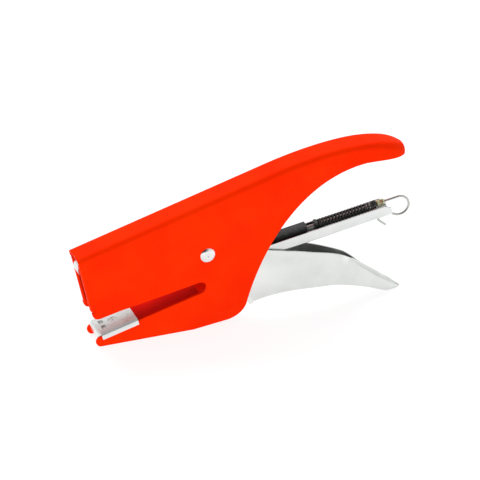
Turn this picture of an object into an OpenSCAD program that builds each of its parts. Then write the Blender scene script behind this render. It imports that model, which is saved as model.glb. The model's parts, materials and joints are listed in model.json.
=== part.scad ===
// Plier stapler: a folded sheet body with a fixed jaw, and a squeeze lever and
// a staple magazine that swing inside it on one rivet. All sizes are in mm.
// +X runs to the handles, +Y across, +Z up. The lever's tip reaches down to z = 0.
// The parts are drawn from the level of the jaw's underside, and raised together.

/* [Body] */
// Outside width of the folded body
body_w = 13.4; // [12.8:0.1:14]
// Thickness of the body sheet
sheet_t = 1.0; // [0.8:0.1:1.2]
// Outside radius of the fold along the back
fold_r = 2.5; // [1.6:0.1:2.6]
// How far the front edges turn inwards on each side
lip_w = 2.9; // [2:0.1:3]

/* [Pivot] */
// Distance of the pivot from the middle of the object, towards the head
pivot_back = 19.1; // [18.8:0.1:19.4]
// Height of the pivot above the jaw's underside
pivot_z = 37.5; // [37.2:0.1:37.8]
// Radius of the pivot rivet's shank
rivet_r = 1.6; // [1.4:0.1:1.7]
// Diameter of the domed rivet heads
rivet_head_d = 7; // [6:0.1:8]

/* [Anvil] */
// Outside width of the anvil saddle
anvil_w = 15; // [14.9:0.1:15.2]
// Length of the anvil along the jaw
anvil_l = 18; // [16:0.5:19]
// Slope of the jaw's upper edge in degrees
jaw_slope = 15.3; // [15.2:0.1:15.4]

/* [Magazine] */
// Slope of the magazine at rest in degrees
mag_slope = 9.5; // [9.4:0.1:9.6]
// Outside width of the magazine channel
mag_w = 8.4; // [8.2:0.1:8.4]
// Height of the channel's walls
mag_h = 5.4; // [5.2:0.1:5.6]
// Thickness of the magazine sheet
mag_t = 0.6; // [0.5:0.05:0.6]
// Depth of the channel's underside below the pivot
mag_drop = 12.7; // [12.5:0.1:12.8]
// Distance from the pivot to the rear end of the channel
mag_rear = 89.8; // [88:0.1:90]
// Width of the rail that the staples ride on
core_w = 5.6; // [5.2:0.1:5.6]

/* [Lever] */
// Outside width of the lever
lever_w = 10.8; // [10.6:0.1:10.8]
// Thickness of the lever sheet
lever_t = 0.9; // [0.8:0.1:0.9]
// Outside width of the lever where the hand grips it
grip_w = 7; // [6.6:0.1:8]
// How far the lever's tip hangs below the jaw
lift = 2.14; // [2.14:0.01:2.2]

/* [Feed] */
// Diameter of the pull rod's wire
wire_d = 1.1; // [0.9:0.05:1.1]
// Radius of the ring at the rod's end, to the middle of the wire
ring_r = 4.7; // [4.3:0.1:4.7]
// Outside diameter of the feed spring
feed_d = 4.2; // [4:0.1:4.6]
// Number of open turns in the feed spring
feed_turns = 16; // [8:1:18]

/* [Hidden] */
$fn = 48;

red = [0.98, 0.16, 0.01];
nickel = [0.84, 0.84, 0.85];
chrome = [0.88, 0.89, 0.88];
blackened = [0.2, 0.21, 0.21];
zinc = [0.63, 0.66, 0.5];

half_w = body_w / 2;
inner_w = half_w - sheet_t;
pivot_x = -pivot_back;
run = 0.05;

// Radii of the stack on the rivet, from the inside out
bush_r = rivet_r + 0.7;
bore_r = bush_r + run;
spacer_r = bore_r + 0.55;

// Levels inside the magazine, below the pivot
mag_floor = -mag_drop + mag_t;
mag_top = -mag_drop + mag_h;
rod_z = mag_top + 0.3;
core_top = mag_floor + 2.6;

// The plane in which the blade runs, and the travel of the blade
blade_x = -54.95;
blade_t = 0.6;
staple_top = mag_floor + 4.4;

// The cross pin that lets the lever drive the blade
pin_x = -53.5;
pin_z = 9.8;
pin_r = 1.5;
pin_shift = 0.8;

// Where the feed spring ends
saddle_rear = 55;
ferrule_x = 84;

// ---- Curves ----
function arc(c, r, a0, a1, n) = [
    for (i = [0:n]) let (a = a0 + (a1 - a0) * i / n) [c[0] + r * cos(a), c[1] + r * sin(a)]
];
function bez_at(p, t) =
    pow(1 - t, 3) * p[0] + 3 * t * pow(1 - t, 2) * p[1]
    + 3 * t * t * (1 - t) * p[2] + pow(t, 3) * p[3];
function bez(p, n) = [for (i = [0:n]) bez_at(p, i / n)];
function unit(v) = v / norm(v);
function spin(p, a) = [p[0] * cos(a) - p[1] * sin(a), p[0] * sin(a) + p[1] * cos(a)];

// ---- Solids made from computed rings ----
module loft(rings) {
    n = len(rings);
    m = len(rings[0]);
    polyhedron(
        points = [for (ring = rings) each ring],
        faces = concat(
            [[for (j = [0:m - 1]) m - 1 - j]],
            [[for (j = [0:m - 1]) (n - 1) * m + j]],
            [for (i = [0:n - 2], j = [0:m - 1])
                [i * m + j, i * m + (j + 1) % m, (i + 1) * m + (j + 1) % m]],
            [for (i = [0:n - 2], j = [0:m - 1])
                [i * m + j, (i + 1) * m + (j + 1) % m, (i + 1) * m + j]]
        )
    );
}
function tangent(path, i) =
    unit(path[min(i + 1, len(path) - 1)] - path[max(i - 1, 0)]);
function wire_ring(c, t, ref, r, sides) =
    let (u = unit(cross(t, ref)), v = cross(u, t))
    [for (k = [0:sides - 1]) c + r * (cos(360 * k / sides) * u + sin(360 * k / sides) * v)];
module wire(path, r, ref, sides = 8) {
    loft([for (i = [0:len(path) - 1]) wire_ring(path[i], tangent(path, i), ref, r, sides)]);
}
// A coil on the Z axis, its pitch easing to closed turns at both ends
function coil(r, length, wire_r, turns, closed, per_turn) =
    let (
        total = turns + 2 * closed,
        shut = 2 * wire_r + 0.06,
        open_l = length - 2 * wire_r - 2 * closed * shut,
        pitch = open_l / turns
    )
    [for (i = [0:total * per_turn])
        let (
            t = i / per_turn,
            low = min(t, closed) * shut,
            mid = max(0, min(t - closed, turns)) * pitch,
            high = max(0, t - closed - turns) * shut
        )
        [r * cos(360 * t), r * sin(360 * t), wire_r + low + mid + high]];

// ---- Frames that the parts are drawn in ----
module raised() {
    translate([0, 0, lift]) children();
}
module on_pivot() {
    translate([pivot_x, 0, pivot_z]) children();
}
module in_magazine() {
    on_pivot() rotate([0, -mag_slope, 0]) children();
}
jaw_at = [-52.9, 9.9];
module in_jaw() {
    translate([jaw_at[0], 0, jaw_at[1]]) rotate([0, -jaw_slope, 0]) children();
}
// A flat outline in X and Z, given a width across Y
module slab(width) {
    rotate([90, 0, 0]) linear_extrude(width, center = true) children();
}
module across(r, width, x, z) {
    translate([x, 0, z]) rotate([90, 0, 0]) cylinder(r = r, h = width, center = true);
}
module box(x0, x1, y, z0, z1) {
    translate([x0, -y, z0]) cube([x1 - x0, 2 * y, z1 - z0]);
}
module both_sides() {
    children();
    mirror([0, 1, 0]) children();
}
// A plate that lies on each side, between two distances from the middle
module side_plates(y0, y1) {
    both_sides() translate([0, y1, 0]) rotate([90, 0, 0]) linear_extrude(y1 - y0) children();
}

// ---- Body: outline of the side, and the folded back that it is cut from ----
front_top = [-81.5, 46.2];
front_low = [-74.8, 17.5];
front_run = (front_low[0] - front_top[0]) / (front_top[1] - front_low[1]);
sky = 90;
back_bend = [9.7, 72.2];
back_slope = (back_bend[1] - 46.4) / (back_bend[0] - front_top[0]);
tip_x = 78.2;
tip_z = 70.2;
jaw_tip_r = 2.5;
throat_end_r = 2.9;
throat_end = [-22.7, 21.1];

module side_outline() {
    polygon(concat(
        arc([-70.4, jaw_tip_r], jaw_tip_r, 90 + jaw_slope, 270, 12),
        [[-26, 0]],
        bez([[-9.5, 2], [-4.5, 2.8], [-1, 6], [-0.2, 9.5]], 8),
        bez([[-0.2, 9.5], [6, 32], [24, 67.5], [58, 70.6]], 20),
        [[tip_x + 2, tip_z], [tip_x + 2, sky], [front_low[0] - (sky - front_low[1]) * front_run, sky]],
        bez([front_low, [-74.1, 14.2], [-72.5, 13.9], [-68, 15.2]], 6),
        [[-62, 16.6]],
        arc(throat_end, throat_end_r, 100, -73, 14)
    ));
}
// The handle's end is a blunt superellipse in plan
tip_from = 66;
tip_len = tip_x - tip_from + 0.2;
function plan_w(x) = x < tip_from ? half_w
    : half_w * pow(1 - pow((x - tip_from) / tip_len, 2.5), 0.4);
back_line = concat(
    [[-90, back_bend[1] + back_slope * (-90 - back_bend[0])]],
    bez([back_bend, [34, 79.4], [63.5, 83.5], [77, 74.9]], 16),
    [[77.9, 73.2], [tip_x, 71.2]]
);
function back_section(x, z, w, r) = concat(
    [[x, -w, -5]],
    [for (p = arc([r - w, z - r], r, 180, 90, 5)) [x, p[0], p[1]]],
    [for (p = arc([w - r, z - r], r, 90, 0, 5)) [x, p[0], p[1]]],
    [[x, w, -5]]
);
module back_solid(inset) {
    last = back_line[len(back_line) - 1][0];
    loft([for (p = back_line)
        let (
            w = max(0.4, plan_w(p[0]) - inset),
            slip = p[0] > tip_from ? inset * (p[0] - tip_from) / (last - tip_from) : 0
        )
        back_section(p[0] - slip, p[1] - inset, w, min(fold_r - inset * 0.6, w * 0.8))]);
}
module front_lip() {
    lean = atan(front_run);
    translate([front_low[0] + 0.08, half_w - lip_w - 0.1, front_low[1]])
        rotate([0, -lean, 0])
        cube([sheet_t, lip_w, 28.7]);
}
module body_shell() {
    color(red) difference() {
        union() {
            intersection() {
                difference() {
                    back_solid(0);
                    back_solid(sheet_t);
                }
                slab(body_w + 2) side_outline();
            }
            both_sides() front_lip();
        }
        across(rivet_r + 0.02, body_w + 2, pivot_x, pivot_z);
    }
}

// Folded bridge between the two jaw plates, which carries the anvil
module jaw_liner() {
    liner_w = inner_w - run;
    top = 0.35;
    color(red) in_jaw() difference() {
        union() {
            box(-17.9, 31, liner_w, top - sheet_t, top);
            both_sides() translate([-14, liner_w - sheet_t, -2.6]) cube([44, sheet_t, 2.6 + top - 0.2]);
            // Front web, folded down between the tips of the jaw plates
            box(-17.9, -17.9 + sheet_t, liner_w, -3.6, top);
        }
        translate([-9.75, 0, -2]) cylinder(r = 1.25, h = 4);
    }
}

anvil_top = 1.6;
module anvil_plate() {
    low = -1.5;
    sheet = 1.2;
    skirt = anvil_w / 2 - half_w - run;
    groove_x = -15.1;
    hole_x = -9.75;
    color(nickel) in_jaw() difference() {
        union() {
            box(-anvil_l, 0, anvil_w / 2, anvil_top - sheet, anvil_top);
            both_sides() translate([-anvil_l, anvil_w / 2 - skirt, low])
                cube([anvil_l, skirt, anvil_top - low]);
            // Front edge, turned down over the end of the jaw
            intersection() {
                across(1.5, anvil_w, -anvil_l, anvil_top - 1.5);
                box(-anvil_l - 3, -anvil_l, anvil_w, 0.1, anvil_top + 1);
            }
            box(-anvil_l - 1.5, -anvil_l - 0.3, inner_w - 0.1, -2.2, 0.2);
        }
        both_sides() translate([groove_x, 2.15, anvil_top + 0.55])
            rotate([90, 0, 0]) cylinder(r = 1.15, h = 3, center = true);
        translate([hole_x, 0, -1]) cylinder(r = 1.25, h = 4);
        translate([hole_x, 0, anvil_top - 0.7]) cylinder(r = 2.35, h = 2);
    }
}
module anvil_rivet() {
    color(nickel) in_jaw() translate([-9.75, 0, 0]) difference() {
        union() {
            translate([0, 0, -1.2]) cylinder(r = 1.2, h = anvil_top - 0.3 + 1.2);
            translate([0, 0, anvil_top - 0.7]) cylinder(r = 2.3, h = 0.4);
            translate([0, 0, -1.5]) cylinder(r = 2, h = 0.85);
        }
        translate([0, 0, anvil_top + 0.9]) sphere(r = 1.5);
    }
}

// ---- Pivot ----
module rivet_dome() {
    rise = 0.8;
    ball = (pow(rivet_head_d / 2, 2) + rise * rise) / (2 * rise);
    difference() {
        intersection() {
            translate([0, 0, rise - ball]) sphere(r = ball, $fn = 96);
            cylinder(r = rivet_head_d / 2, h = rise);
        }
        translate([0, 0, rise + 0.7]) sphere(r = 1.1);
    }
}
module pivot_rivet() {
    color(nickel) on_pivot() {
        across(rivet_r, body_w, 0, 0);
        translate([0, -half_w, 0]) rotate([90, 0, 0]) rivet_dome();
        translate([0, half_w, 0]) rotate([-90, 0, 0]) rivet_dome();
    }
}
module ring_across(r_out, r_in, width) {
    difference() {
        across(r_out, width, 0, 0);
        across(r_in, width + 1, 0, 0);
    }
}
module pivot_bush() {
    color(zinc) on_pivot() ring_across(bush_r, rivet_r + 0.02, 2 * inner_w - 0.04);
}
module pivot_washers() {
    thin = (2 * inner_w - lever_w) / 2 - 0.06;
    color(nickel) on_pivot() both_sides() translate([0, lever_w / 2 + 0.03 + thin / 2, 0])
        ring_across(4.6, bore_r, thin);
}
// Buffer under the back, on which the lever's arms rest
module roof_bumper() {
    lean = atan(back_slope);
    roof = back_bend[1] + back_slope * (-62 - back_bend[0]) - sheet_t / cos(lean);
    color(blackened) difference() {
        translate([-66, -4.1, 41.95]) cube([8, 8.2, 15]);
        translate([-62, 0, roof - 0.12]) rotate([0, -lean, 0]) translate([-10, -10, 0]) cube([20, 20, 20]);
    }
}
module return_spring() {
    wire_r = 0.45;
    turns = 4;
    coil_r = spacer_r + 0.15 + wire_r;
    half = turns * (2 * wire_r + 0.1) / 2;
    per_turn = 14;
    lean = -10;
    last = 90 + mag_slope - 360 * turns;
    steps = 14 * turns;
    // A long leg up to the back, the coil, and a short leg on the magazine's tab
    up = [for (s = [28, 20, 10, 4, 1]) let (p = spin([coil_r, s], lean)) [p[0], -half, p[1]]];
    round_path = [for (i = [0:steps])
        let (f = i / steps, a = lean + (last - lean) * f)
        [coil_r * cos(a), half * (2 * f - 1), coil_r * sin(a)]];
    down = [for (q = [[3, 3.1], [8, 1.1], [13, tab_z + wire_r]])
        let (p = spin(q, mag_slope)) [p[0], half, p[1]]];
    color(blackened) on_pivot() wire(concat(up, round_path, down), wire_r, [0, 1, 0]);
}

// ---- Magazine ----
exit_x = -54.5;
nose_x = -55.4;
ear_r = 4.6;
tab_z = -1.7;
module magazine_side() {
    polygon(concat(
        [[nose_x, -mag_drop], [mag_rear, -mag_drop], [mag_rear, mag_top - 1.6], [mag_rear - 3.2, mag_top]],
        [[17, mag_top], [14.5, tab_z + 0.3]],
        arc([0, 0], ear_r, 50, 150, 10),
        [[-11, mag_top], [nose_x, mag_top]]
    ));
}
module magazine_channel() {
    outer = mag_w / 2;
    slot_from = 82;
    color(chrome) in_magazine() difference() {
        union() {
            side_plates(outer - mag_t, outer) magazine_side();
            box(exit_x, mag_rear, outer - 0.1, -mag_drop, mag_floor);
            // Tab on each ear for the return spring's short leg
            translate([11, outer - 2.1, tab_z - 0.8]) cube([2.5, 1.8, 0.8]);
        }
        across(bore_r, mag_w + 2, 0, 0);
        box(slot_from, mag_rear + 1, 0.95, -mag_drop - 1, mag_floor + 1);
    }
}
module magazine_nose() {
    outer = mag_w / 2;
    foot = -mag_drop - 1.1;
    color(chrome) in_magazine() {
        box(nose_x - 0.8, nose_x, outer, foot, -4);
        both_sides() translate([nose_x, outer - mag_t, foot]) cube([6, mag_t, 1.1]);
    }
}
module staple_core() {
    color(blackened) in_magazine() difference() {
        box(exit_x, 80, core_w / 2, mag_floor, core_top);
        box(exit_x + 3, 81, core_w / 2 - mag_t, mag_floor - 1, core_top - mag_t);
    }
}
module ear_spacer() {
    color(zinc) on_pivot() ring_across(spacer_r, bore_r, mag_w - 2 * mag_t - 0.06);
}

// ---- Lever ----
lever_tip = 76.8;
arm_pin = spin([pin_x, pin_z], mag_slope);
arm_r = 3;
grip_curve = [[1.7, 6.8], [12, 10.6], [42, 12], [70.5, -1.5]];
grip_steps = 14;
under_grip = bez(grip_curve, grip_steps);
floor_start = bez_at(grip_curve, 0.055);
tip_steps = 4;
under_tip = bez([[70.5, -1.5], [73, -2.4], [75.5, -2.4], [lever_tip, -1.2]], tip_steps);
module lever_outline() {
    polygon(concat(
        under_grip, [for (i = [1:tip_steps]) under_tip[i]],
        bez([[lever_tip, 0.3], [70.5, 6], [64, 9], [54, 18.4]], 8),
        bez([[53.9, 18.5], [47.5, 24.2], [32, 28.4], [9.9, 33.7]], 12),
        arc([pivot_x, pivot_z], 5.6, 60, 90, 3),
        arc([pivot_x, pivot_z] + arm_pin, arm_r, 90, 270, 12),
        [[-25, 32.2], [-17, 30.5], [-9, 24]]
    ));
}
// Half width of the lever in plan: it narrows behind the body and ends in an ellipse
narrow_from = 31;
narrow_to = 48;
nose_from = 66;
function ease(t) = t * t * (3 - 2 * t);
function narrowed(x) = ease((x - narrow_from) / (narrow_to - narrow_from));
function on_nose(x) = max(0, (x - nose_from) / (lever_tip - nose_from));
function lever_half(x) =
    x < narrow_to ? lever_w / 2 - (lever_w - grip_w) / 2 * narrowed(x)
    : grip_w / 2 * sqrt(max(0, 1 - pow(on_nose(x), 2)));
module lever_plan(inset) {
    xs = concat([for (i = [0:8]) narrow_from + (narrow_to - narrow_from) * i / 8],
        [for (a = [0:10:80]) nose_from + (lever_tip - nose_from) * sin(a)]);
    edge = concat([[-100, lever_w / 2 - inset]],
        [for (x = xs) [x - inset * on_nose(x), max(0.3, lever_half(x) - inset)]],
        [[lever_tip - inset, 0.3]]);
    polygon(concat(edge, [for (i = [len(edge) - 1:-1:0]) [edge[i][0], -edge[i][1]]]));
}
module lever_hollow() {
    polygon(concat(
        [[-100, -20], [floor_start[0], -20], floor_start + [0, lever_t]],
        [for (i = [2:grip_steps]) under_grip[i] + [0, lever_t]],
        [for (i = [1:tip_steps - 1]) under_tip[i] + [0, lever_t]],
        [[lever_tip + 1, -0.5], [lever_tip + 1, 60], [-100, 60]]
    ));
}
module lever_shell() {
    color(chrome) difference() {
        intersection() {
            slab(lever_w) lever_outline();
            translate([0, 0, -30]) linear_extrude(100) lever_plan(0);
        }
        intersection() {
            slab(lever_w - 2 * lever_t) lever_hollow();
            translate([0, 0, -30]) linear_extrude(100) lever_plan(lever_t);
        }
        on_pivot() across(bore_r, lever_w + 2, 0, 0);
        on_pivot() across(pin_r, lever_w + 2, arm_pin[0], arm_pin[1]);
        on_pivot() across(1.2, lever_w + 2, brace[0], brace[1]);
        on_pivot() translate([stud[0], 0, stud[1] - 5]) cylinder(r = 1.2, h = 6);
    }
}
brace = [-27, -0.8];
module arm_spacer() {
    color(zinc) on_pivot() translate([brace[0], 0, brace[1]])
        ring_across(2.3, 1.22, lever_w - 2 * lever_t - 0.04);
}
module arm_rivet() {
    color(nickel) on_pivot() across(1.18, lever_w, brace[0], brace[1]);
}
module hammer_pin() {
    color(nickel) on_pivot() across(pin_r - 0.02, lever_w, arm_pin[0], arm_pin[1]);
}
stud = [28, -27];
stud_floor = 9 + lever_t - pivot_z;
module spring_stud() {
    color(zinc) on_pivot() translate([stud[0], 0, stud_floor]) {
        cylinder(r = 2.1, h = 2.2);
        translate([0, 0, -1.2]) cylinder(r = 1.18, h = 1.3);
    }
}
module drive_spring() {
    wire_r = 0.5;
    length = 18.5;
    color(blackened) on_pivot() translate([stud[0], 0, stud_floor + 0.05])
        wire(coil(3, length, wire_r, 5, 1, 14), wire_r, [0, 0, 1]);
}

// ---- Driver: the blade that pushes the staple, and the block that carries it ----
block_low = 3.5;
module driver_blade() {
    color(nickel) in_magazine()
        box(blade_x - blade_t / 2, blade_x + blade_t / 2, 3.3, staple_top, block_low + 3);
}
module hammer_block() {
    nose_r = 3.9;
    nose_at = [-56.2, 11.4];
    slot_half = pin_r + 0.15;
    color(chrome) in_magazine() difference() {
        union() {
            across(nose_r, 6, nose_at[0], nose_at[1]);
            box(-56, -50.6, 3, nose_at[1] - nose_r, nose_at[1] + nose_r);
            box(-57, -53, 3, block_low, nose_at[1]);
        }
        box(blade_x - blade_t / 2 - 0.02, blade_x + blade_t / 2 + 0.02, 4, block_low - 1, block_low + 3.05);
        across(slot_half, 8, pin_x, pin_z);
        across(slot_half, 8, pin_x - pin_shift, pin_z);
        box(pin_x - pin_shift, pin_x, 4, pin_z - slot_half, pin_z + slot_half);
        both_sides() translate([-58, 1.6, block_low + 1.4]) rotate([0, 90, 0]) cylinder(r = 0.6, h = 2.72);
    }
}
module driver_rivets() {
    color(nickel) in_magazine() both_sides() translate([-57.4, 1.6, block_low + 1.4]) rotate([0, 90, 0]) {
        translate([0, 0, 0.3]) cylinder(r = 0.58, h = 1.8);
        cylinder(r = 0.9, h = 0.36);
    }
}

// ---- Pull rod, with the feed spring round it ----
ring_at = [94.6, rod_z - ring_r];
ring_turn = 210;
function in_plane(points) = [for (p = points) [p[0], 0, p[1]]];
module pull_rod() {
    wire_r = wire_d / 2;
    last = 90 - ring_turn;
    leave = ring_at + ring_r * [cos(last), sin(last)];
    heading = [sin(last), -cos(last)];
    hook = concat(
        [[ferrule_x + 1.5, rod_z], [ferrule_x + 4, rod_z]],
        arc(ring_at, ring_r, 90, last, 24),
        [for (i = [1:10]) bez_at([leave, leave + 4 * heading, [88, -11.3], [85.4, -11.3]], i / 10)],
        [for (i = [1:8]) bez_at([[85.4, -11.3], [83.2, -11.3], [82.9, -14.5], [84.3, -16.5]], i / 8)],
        [[86.8, -19.5]]
    );
    color(chrome) in_magazine() {
        translate([-40, 0, rod_z]) rotate([0, 90, 0]) cylinder(r = wire_r, h = ferrule_x + 42.5);
        wire(in_plane(hook), wire_r - 0.01, [0, 1, 0], 12);
    }
}
module rod_ferrule() {
    length = 3.7;
    color(zinc) in_magazine() translate([ferrule_x, 0, rod_z]) rotate([0, 90, 0]) difference() {
        cylinder(d = 2.9, h = length);
        translate([0, 0, -1]) cylinder(r = wire_d / 2 + 0.01, h = length + 2);
        translate([0, -1.9, length / 2]) sphere(r = 0.8);
    }
}
module feed_spring() {
    wire_r = 0.35;
    length = ferrule_x - saddle_rear - 0.1;
    color(blackened) in_magazine() translate([ferrule_x - 0.05, 0, rod_z]) rotate([0, -90, 0])
        wire(coil(feed_d / 2 - wire_r, length, wire_r, feed_turns, 2, 12), wire_r, [0, 0, 1]);
}

// ---- Pusher ----
pusher_from = 31;
pusher_y = mag_w / 2 - mag_t - 0.15;
saddle_top = mag_top - 0.9;
lug_top = mag_top + 2;
block_top = mag_top + 2.7;
block_y = 1.7;
pin_at = [34.6, 2.6];
pin_depth = 1;
module rod_bore() {
    translate([pusher_from - 1, 0, rod_z]) rotate([0, 90, 0]) cylinder(r = wire_d / 2 + 0.06, h = 30);
}
module pusher_saddle() {
    color(blackened) in_magazine() difference() {
        union() {
            box(pusher_from, saddle_rear, pusher_y, mag_floor + 0.1, saddle_top);
            // Lug that the feed spring pushes on
            box(saddle_rear - 1.4, saddle_rear, block_y, saddle_top - 0.5, lug_top);
        }
        box(pusher_from - 1, saddle_rear + 1, core_w / 2 + 0.15, mag_floor - 1, core_top + 0.15);
        box(pusher_from - 1, 50, block_y + 0.02, core_top + 1.1, saddle_top + 1);
        rod_bore();
        both_sides() translate([pin_at[0], pin_at[1], saddle_top - 2]) cylinder(r = 0.5, h = 3);
    }
}
module pusher_block() {
    color(blackened) in_magazine() difference() {
        box(pusher_from, 49.5, block_y, core_top + 1.12, block_top);
        rod_bore();
    }
}
module pusher_pins() {
    color(nickel) in_magazine() both_sides() translate([pin_at[0], pin_at[1], saddle_top]) {
        translate([0, 0, -pin_depth]) cylinder(r = 0.48, h = pin_depth + 0.2);
        intersection() {
            translate([0, 0, -0.5]) sphere(r = 0.9);
            translate([0, 0, 0.02]) cylinder(r = 0.75, h = 1);
        }
    }
}

raised() body_shell();
raised() jaw_liner();
raised() anvil_plate();
raised() anvil_rivet();
raised() pivot_rivet();
raised() pivot_bush();
raised() pivot_washers();
raised() roof_bumper();
raised() return_spring();
raised() magazine_channel();
raised() magazine_nose();
raised() staple_core();
raised() ear_spacer();
raised() lever_shell();
raised() arm_spacer();
raised() arm_rivet();
raised() hammer_pin();
raised() spring_stud();
raised() drive_spring();
raised() driver_blade();
raised() hammer_block();
raised() driver_rivets();
raised() pull_rod();
raised() rod_ferrule();
raised() feed_spring();
raised() pusher_saddle();
raised() pusher_block();
raised() pusher_pins();
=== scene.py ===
"""Looks of the plier stapler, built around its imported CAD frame.

The drawing below works in millimetres, in the axes of the CAD part: +X runs from
the head to the handles, +Y across and +Z up. make_mesh() turns it into metres.
"""
import json
import math
from collections import Counter

import bmesh
import bpy
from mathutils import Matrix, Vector


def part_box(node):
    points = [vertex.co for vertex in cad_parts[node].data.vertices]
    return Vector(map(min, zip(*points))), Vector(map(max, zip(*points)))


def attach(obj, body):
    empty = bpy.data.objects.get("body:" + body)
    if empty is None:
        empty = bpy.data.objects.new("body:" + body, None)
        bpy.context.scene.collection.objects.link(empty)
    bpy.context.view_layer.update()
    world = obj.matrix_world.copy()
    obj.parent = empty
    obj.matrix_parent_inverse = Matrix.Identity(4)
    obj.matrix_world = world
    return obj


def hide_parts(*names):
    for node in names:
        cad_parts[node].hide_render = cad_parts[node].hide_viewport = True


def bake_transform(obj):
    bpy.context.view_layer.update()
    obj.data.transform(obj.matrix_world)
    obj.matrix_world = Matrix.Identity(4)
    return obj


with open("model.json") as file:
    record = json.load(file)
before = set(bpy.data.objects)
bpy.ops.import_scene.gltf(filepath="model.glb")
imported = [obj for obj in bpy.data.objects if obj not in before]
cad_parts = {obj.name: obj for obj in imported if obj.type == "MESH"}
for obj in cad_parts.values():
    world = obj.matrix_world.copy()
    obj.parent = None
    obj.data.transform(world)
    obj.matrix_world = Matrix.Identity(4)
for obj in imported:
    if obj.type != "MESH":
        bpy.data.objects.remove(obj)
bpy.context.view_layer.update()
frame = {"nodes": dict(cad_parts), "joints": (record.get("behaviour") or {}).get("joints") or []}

MM = 0.001


# ---- Places taken from the frame ----
def box_mm(node):
    low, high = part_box(node)
    return low / MM, high / MM


joint_rows = {row["name"]: row for row in frame["joints"]}
PIVOT = Vector(joint_rows["close"]["pos_m"]) / MM
SLIDE = Vector(joint_rows["pull_out"]["axis"])

# The body and the lever are drawn with the jaw's underside at Z = 0. The CAD part stands
# higher, by LIFT, because the lever's tip hangs below the jaw.
PIVOT_DRAWN = 37.5
LIFT = PIVOT.z - PIVOT_DRAWN

SHEET = 1.0
BUSH_GAP = 0.02
BODY_HALF = box_mm("pivot_bush")[1].y + BUSH_GAP + SHEET
LEVER_HALF = box_mm("lever_shell")[1].y
LEVER_TIP = box_mm("lever_shell")[1].x
MAG_HALF = box_mm("magazine_channel")[1].y


# ---- Curves in a plane ----
def arc(centre, radius, start, end, count):
    angles = in_radians(spread(start, end, count))
    return [(centre[0] + radius * math.cos(a), centre[1] + radius * math.sin(a)) for a in angles]


def bez_at(p, t):
    weights = ((1 - t) ** 3, 3 * t * (1 - t) ** 2, 3 * t * t * (1 - t), t ** 3)
    return tuple(sum(w * q[k] for w, q in zip(weights, p)) for k in range(len(p[0])))


def bez(p, count):
    return [bez_at(p, i / count) for i in range(count + 1)]


def spread(start, end, count):
    return [start + (end - start) * i / count for i in range(count + 1)]


def height_at(line, x):
    """The height of a line of points, in order of x, at x."""
    for (x0, z0), (x1, z1) in zip(line, line[1:]):
        if x <= x1:
            return z0 + (z1 - z0) * (x - x0) / (x1 - x0)
    return line[-1][1]


def smooth(t):
    t = min(1.0, max(0.0, t))
    return t * t * (3 - 2 * t)


def ease(x, start, end):
    """0 before start, 1 after end, and a smooth step between them."""
    return smooth((x - start) / (end - start))


def flipped(p):
    """The mirror image of a point across the part's middle plane."""
    return (p[0], -p[1], p[2])


def in_radians(degrees):
    return [math.radians(a) for a in degrees]


# ---- Frames that the parts are drawn in ----
def sloped(origin, lengthways):
    """A function from local (along, across, up) to the part's own axes."""
    up = Vector((-lengthways.z, 0, lengthways.x))

    def place(p):
        return Vector(origin) + lengthways * p[0] + Vector((0, p[1], 0)) + up * p[2]

    return place


JAW_SLOPE = math.radians(15.3)
JAW_X, JAW_Z = -52.9, 9.9
in_magazine = sloped(PIVOT, SLIDE)
in_jaw = sloped((JAW_X, 0, JAW_Z + LIFT), Vector((math.cos(JAW_SLOPE), 0, math.sin(JAW_SLOPE))))


def as_drawn(p):
    return Vector(p) + Vector((0, 0, LIFT))


# ---- Meshes ----
def make_mesh(name, points, faces, place=as_drawn):
    mesh = bpy.data.meshes.new(name)
    mesh.from_pydata([place(p) * MM for p in points], [], faces)
    work = bmesh.new()
    work.from_mesh(mesh)
    bmesh.ops.recalc_face_normals(work, faces=work.faces)
    work.to_mesh(mesh)
    work.free()
    piece = bpy.data.objects.new(name, mesh)
    bpy.context.scene.collection.objects.link(piece)
    return piece


def shade(piece, angle):
    piece.data.shade_smooth()
    piece.data.set_sharp_from_angle(angle=math.radians(angle))


SOFT_SEGMENTS = 2
SOFT_ANGLE = 32
FACE_WEIGHT = 60
WELD_GAP = 0.002


def soften(piece, width, weld=False):
    """Rounded edges, with flat faces that stay flat. CAD meshes are welded first."""
    if weld:
        join = piece.modifiers.new("weld", "WELD")
        join.merge_threshold = WELD_GAP * MM
    bevel = piece.modifiers.new("edges", "BEVEL")
    bevel.width = width * MM
    bevel.segments = SOFT_SEGMENTS
    bevel.limit_method = "ANGLE"
    bevel.angle_limit = math.radians(SOFT_ANGLE)
    piece.data.shade_smooth()
    normals = piece.modifiers.new("normals", "WEIGHTED_NORMAL")
    normals.keep_sharp = False
    normals.weight = FACE_WEIGHT


def bake_modifiers(piece):
    """Turns a piece's modifiers into mesh."""
    graph = bpy.context.evaluated_depsgraph_get()
    done = bpy.data.meshes.new_from_object(piece.evaluated_get(graph))
    piece.modifiers.clear()
    piece.data = done


def carve(piece, *cutters):
    """Cuts each cutter out of the piece, and removes the cutters."""
    for cutter in cutters:
        cut = piece.modifiers.new("cut", "BOOLEAN")
        cut.operation = "DIFFERENCE"
        cut.solver = "EXACT"
        cut.object = cutter
    bake_modifiers(piece)
    for cutter in cutters:
        bpy.data.objects.remove(cutter)


def drill(radius, x, z):
    """A cutter for a hole across the part, wide enough for both walls."""
    half = 9
    profile = [(-half, radius), (half, radius)]
    return turned("drill", profile, lambda p: as_drawn((x + p[1], p[0], z + p[2])))


def place_piece(piece, body, slot, material, *nodes):
    piece.data.materials.clear()
    piece.data.materials.append(material)
    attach(piece, body)
    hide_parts(*nodes)


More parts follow.
